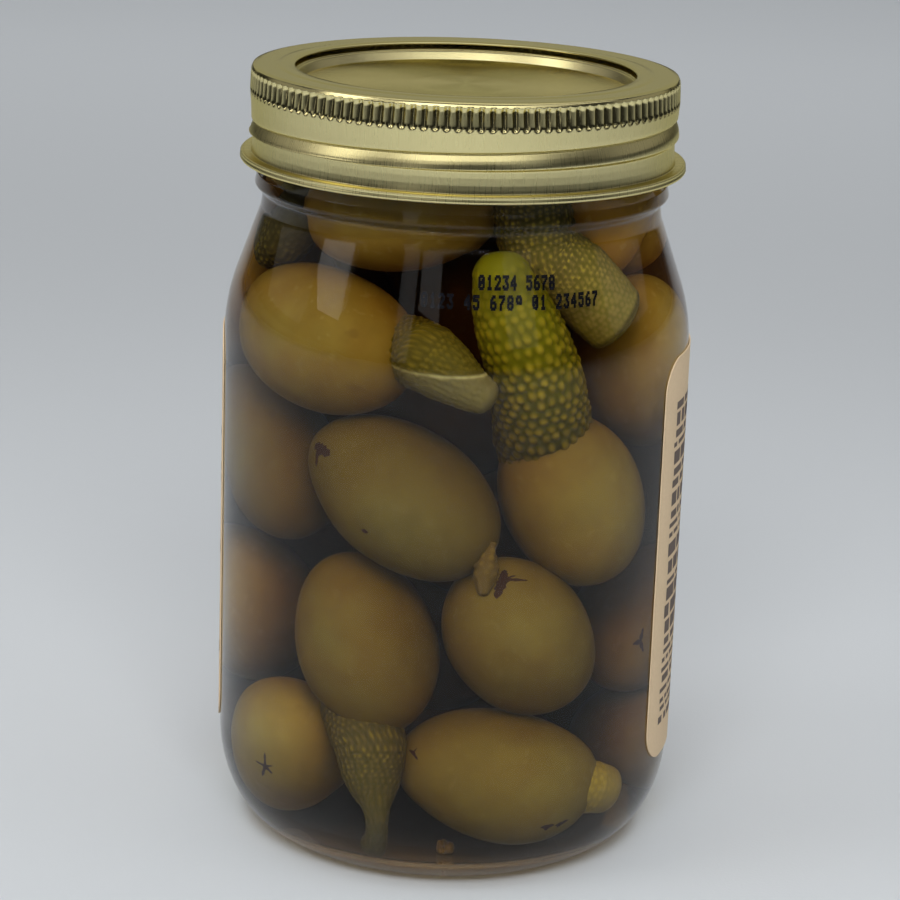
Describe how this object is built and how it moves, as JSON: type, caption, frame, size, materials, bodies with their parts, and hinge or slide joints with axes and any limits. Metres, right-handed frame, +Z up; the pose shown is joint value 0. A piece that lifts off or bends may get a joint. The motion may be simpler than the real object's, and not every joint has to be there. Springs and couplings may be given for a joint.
{
  "type": "jar of stuffed olives",
  "caption": "Clear glass canning jar packed with gherkin-stuffed green olives in brine, with a gold screw band, a lid disc and a plain paper label round the back.",
  "frame": {"origin": "under the middle of the base, in the plane that the jar stands on", "axes": "+Z up along the jar's axis; -Y is the front, where the olives show; +Y is the label's side"},
  "size_m": [0.0798, 0.0794, 0.1325],
  "materials": {
    "glass": "clear pressed glass",
    "gold_lid": "satin gold lacquer on tinplate",
    "gold_band": "brushed gold lacquer on tinplate",
    "label_paper": "uncoated cream paper",
    "olive_skin": "wet olive skin"
  },
  "bodies": {
    "root": {"jar": "glass", "lid_disc": "gold_lid", "band": "gold_band", "label": "label_paper", "olives": "olive_skin"}
  },
  "joints": []
}
